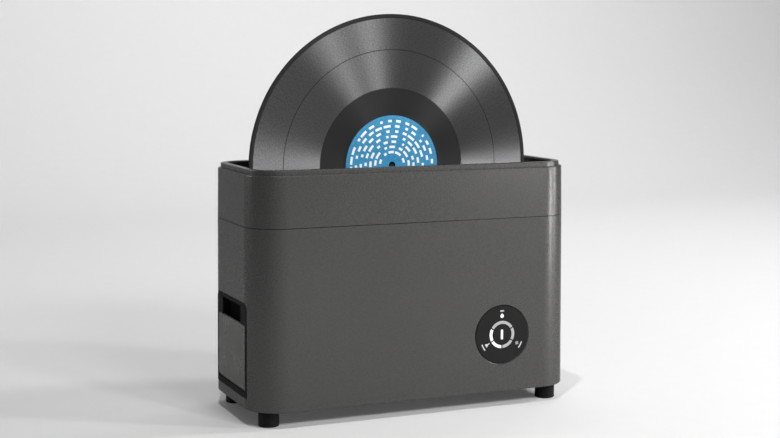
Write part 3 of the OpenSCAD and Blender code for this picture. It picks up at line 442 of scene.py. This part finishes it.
def material_table():
    """One finish for each material slot of the record."""
    steel = (0.55, 0.55, 0.56)
    cover_grey = (0.047, 0.045, 0.042)
    return {
        "case_paint": painted("case_paint", (0.08, 0.079, 0.077), 0.27, metallic=0.5),
        "pan_black": painted("pan_black", grey(0.02), 0.6, metallic=0.1, speck=0.3),
        "foot_rubber": rubber("foot_rubber", grey(0.008), 0.65, gloss=0.08),
        "screw_steel": turned("screw_steel", steel, 0.35),
        "mouth_black": moulded("mouth_black", grey(0.008), 0.55),
        "gasket_rubber": rubber("gasket_rubber", grey(0.02)),
        "basin_plastic": moulded("basin_plastic", (0.018, 0.019, 0.02), 0.3, grain=600.0),
        "duct_black": moulded("duct_black", (0.015, 0.015, 0.016), 0.55),
        "motor_steel": turned("motor_steel", steel, 0.4),
        "wheel_grey": moulded("wheel_grey", (0.1, 0.11, 0.12), 0.5),
        "horn_aluminium": turned("horn_aluminium", (0.75, 0.75, 0.77), 0.3),
        "piezo_ceramic": moulded("piezo_ceramic", (0.2, 0.17, 0.12), 0.6),
        "bar_steel": turned("bar_steel", (0.6, 0.6, 0.62), 0.25),
        "bush_brass": turned("bush_brass", (0.7, 0.5, 0.2), 0.3),
        "roller_white": moulded("roller_white", (0.65, 0.65, 0.62), 0.45),
        "tyre_rubber": rubber("tyre_rubber", grey(0.02)),
        "pump_black": moulded("pump_black", (0.022, 0.022, 0.024), 0.5),
        "hose_clear": see_through("hose_clear", (0.8, 0.82, 0.83), 0.25, clearness=0.6),
        "coil_copper": moulded("coil_copper", (0.25, 0.09, 0.03), 0.5),
        "bay_black": moulded("bay_black", (0.007, 0.0075, 0.007), 0.6, gloss=0.03),
        "tank_clear": see_through("tank_clear", (0.35, 0.38, 0.4), 0.12, clearness=0.7),
        "tank_black": recessed("tank_black", (0.008, 0.0085, 0.008), 0.6),
        "tank_grey": moulded("tank_grey", cover_grey, 0.3, grain=900.0, depth=0.000004, gloss=0.12),
        "port_rubber": rubber("port_rubber", (0.25, 0.05, 0.03), 0.55),
        "filter_felt": felt("filter_felt", (0.75, 0.75, 0.68)),
        "cup_black": moulded("cup_black", grey(0.008), 0.6),
        "lamp_white": lamp_cover("lamp_white"),
        "key_black": moulded("key_black", grey(0.012), 0.4, grain=1600.0, depth=0.00002, gloss=0.1),
        "board_green": circuit("board_green", (0.02, 0.12, 0.05)),
        "jack_black": moulded("jack_black", grey(0.012), 0.35),
        "vinyl": vinyl("vinyl"),
        "label_paper": printed_label("label_paper"),
    }


def dress_nodes():
    """Gives every CAD node the finish of its slot."""
    table = material_table()
    for part in record["subparts"]:
        mesh = nodes[part["node"]].data
        mesh.materials.clear()
        mesh.materials.append(table[part["material_slot"]])


def soft_light(name, place, aim, width, height, power):
    """A rectangular soft light that points at a place."""
    data = bpy.data.lights.new(name, "AREA")
    data.shape = "RECTANGLE"
    data.size = width
    data.size_y = height
    data.energy = power
    lamp = bpy.data.objects.new(name, data)
    lamp.location = place
    lamp.rotation_euler = (Vector(aim) - Vector(place)).to_track_quat("-Z", "Y").to_euler()
    bpy.context.scene.collection.objects.link(lamp)
    return lamp


def nodes_without(name, left_out):
    """A group of all CAD nodes but a few, for a lamp to be linked to."""
    group = bpy.data.collections.new(name)
    for key, node in nodes.items():
        if key not in left_out:
            group.objects.link(node)
    return group


def link_lamps(low, side, edge, corner, shine):
    """Limits what some lamps light, and what blocks them, to match the light in the photo."""
    record_names = {"record_disc", "record_labels"}
    rim_names = {"upper_shell", "slot_funnel"}
    # The record's lower right is dark in the photo while the case beside it is lit
    case_only = nodes_without("all_but_record", record_names)
    for lamp in (low, side):
        lamp.light_linking.receiver_collection = case_only
    shine.light_linking.receiver_collection = nodes_without("disc_only", set(nodes) - {"record_disc"})
    # The low light in the photo reaches the record over the rim
    over_rim = nodes_without("all_but_rim", rim_names)
    for lamp in (edge, corner, shine):
        lamp.light_linking.blocker_collection = over_rim


def light_studio():
    """Soft lights in front, at the right and above, and one for the backdrop."""
    aim = (0.0, 0.0, 0.15)
    backdrop_aim = (1.1, 2.7, 0.8)
    # A small high lamp draws the sharp pale shadow at the right
    soft_light("light_crisp", (-0.356, -0.529, 2.2), aim, 0.06, 0.06, 13.4)
    # Two lamps from the right make the broad bright wedge of the grooves
    soft_light("light_high", (1.8, -0.42, 1.2), aim, 0.22, 0.3, 18.0)
    soft_light("light_mid", (1.56, -1.19, 0.97), aim, 0.2, 0.3, 15.2)
    # Two lamps from the front make the paired narrow wedges at the top
    soft_light("light_top_right", (0.594, -1.72, 1.29), aim, 0.2, 0.3, 10.7)
    soft_light("light_top_left", (0.16, -1.81, 1.29), aim, 0.4, 0.3, 11.4)
    # Low lamps brighten the case towards its right edge
    low = soft_light("light_low", (1.1, -1.78, 0.36), aim, 0.15, 0.3, 3.4)
    edge = soft_light("light_edge", (1.5, -1.1, 0.06), aim, 0.3, 0.08, 5.0)
    corner = soft_light("light_corner", (2.2, -0.75, 0.1), aim, 0.4, 0.1, 5.9)
    # One more low lamp is for the record alone, which is brighter towards the rim at both sides
    shine = soft_light("light_record", (1.7, -1.0, 0.03), aim, 0.3, 0.08, 13.0)
    # A lamp behind at the left brightens the left side and leaves the near corner dark
    side = soft_light("light_side", (-1.6, 1.0, 0.6), aim, 0.5, 0.5, 13.0)
    # A faint lamp fills the front, and a strong one lights the backdrop
    soft_light("light_front", (-0.5, -2.3, 1.0), aim, 0.8, 0.8, 2.5)
    soft_light("light_back", (1.1, 0.9, 2.3), backdrop_aim, 2.4, 0.8, 48.0)
    link_lamps(low, side, edge, corner, shine)


def set_world():
    """A dim even world that fills the shadows a little."""
    world = bpy.data.worlds.new("studio")
    bpy.context.scene.world = world
    world.use_nodes = True
    strength = 0.04
    plain = world.node_tree.nodes["Background"]
    plain.inputs["Color"].default_value = (*grey(1.0), 1.0)
    plain.inputs["Strength"].default_value = strength


def paper_finish():
    """Pale, slightly uneven paper of the floor and backdrop."""
    paper_scale = 40.0
    paper_low = 0.675
    paper_high = 0.685
    shadow_glow = 0.06
    finish = Finish("floor_paper", grey(0.68), 0.9)
    finish.color_from(finish.ramp(finish.noise(paper_scale, 3.0), [(0.3, paper_low), (0.7, paper_high)]))
    # A faint glow that only the camera sees keeps the shadow under the case soft, as in the photo
    ray = finish.node("ShaderNodeLightPath")
    glow = finish.math("MULTIPLY", ray.outputs["Is Camera Ray"], shadow_glow)
    finish.link(glow, finish.shader.inputs["Emission Strength"])
    finish.set(Emission_Color=(*grey(1.0), 1.0))
    return finish.material


def add_floor():
    """Pale floor that runs up into a backdrop, in one sheet."""
    half = 4.0
    front = -4.0
    curve_y = 1.6
    curve_r = 1.4
    top = 4.0
    steps = 24
    profile = [(front, 0.0)]
    for i in range(steps + 1):
        turn = math.radians(90 * i / steps)
        profile.append((curve_y + curve_r * math.sin(turn), curve_r * (1 - math.cos(turn))))
    profile.append((curve_y + curve_r, top))
    points = [(x, y, z) for y, z in profile for x in (-half, half)]
    faces = [(2 * i, 2 * i + 1, 2 * i + 3, 2 * i + 2) for i in range(len(profile) - 1)]
    mesh = bpy.data.meshes.new("studio_floor")
    mesh.from_pydata(points, [], faces)
    for face in mesh.polygons:
        face.use_smooth = True
    mesh.materials.append(paper_finish())
    floor = bpy.data.objects.new("studio_floor", mesh)
    bpy.context.scene.collection.objects.link(floor)


def add_camera():
    """Camera at the photograph's place, solved from the edges of the case."""
    place = Vector((-0.58546, -1.34888, 0.36029))
    yaw = math.radians(23.402)
    pitch = math.radians(6.766)
    roll = math.radians(0.085)
    focal_pixels = 1463.41
    photo_w = 780.0
    ahead = Vector((math.sin(yaw) * math.cos(pitch), math.cos(yaw) * math.cos(pitch), -math.sin(pitch)))
    level = Vector((math.cos(yaw), -math.sin(yaw), 0.0))
    upright = level.cross(ahead)
    right = level * math.cos(roll) + upright * math.sin(roll)
    up = upright * math.cos(roll) - level * math.sin(roll)
    data = bpy.data.cameras.new("photo_camera")
    data.sensor_fit = "HORIZONTAL"
    data.sensor_width = 36.0
    data.lens = focal_pixels / photo_w * data.sensor_width
    data.clip_start = 0.01
    camera = bpy.data.objects.new("photo_camera", data)
    turn = Matrix((right, up, -ahead)).transposed()
    camera.matrix_world = Matrix.Translation(place) @ turn.to_4x4()
    bpy.context.scene.collection.objects.link(camera)
    bpy.context.scene.camera = camera


add_camera()
dress_nodes()
add_floor()
light_studio()
set_world()
bpy.context.scene.view_settings.view_transform = "Standard"
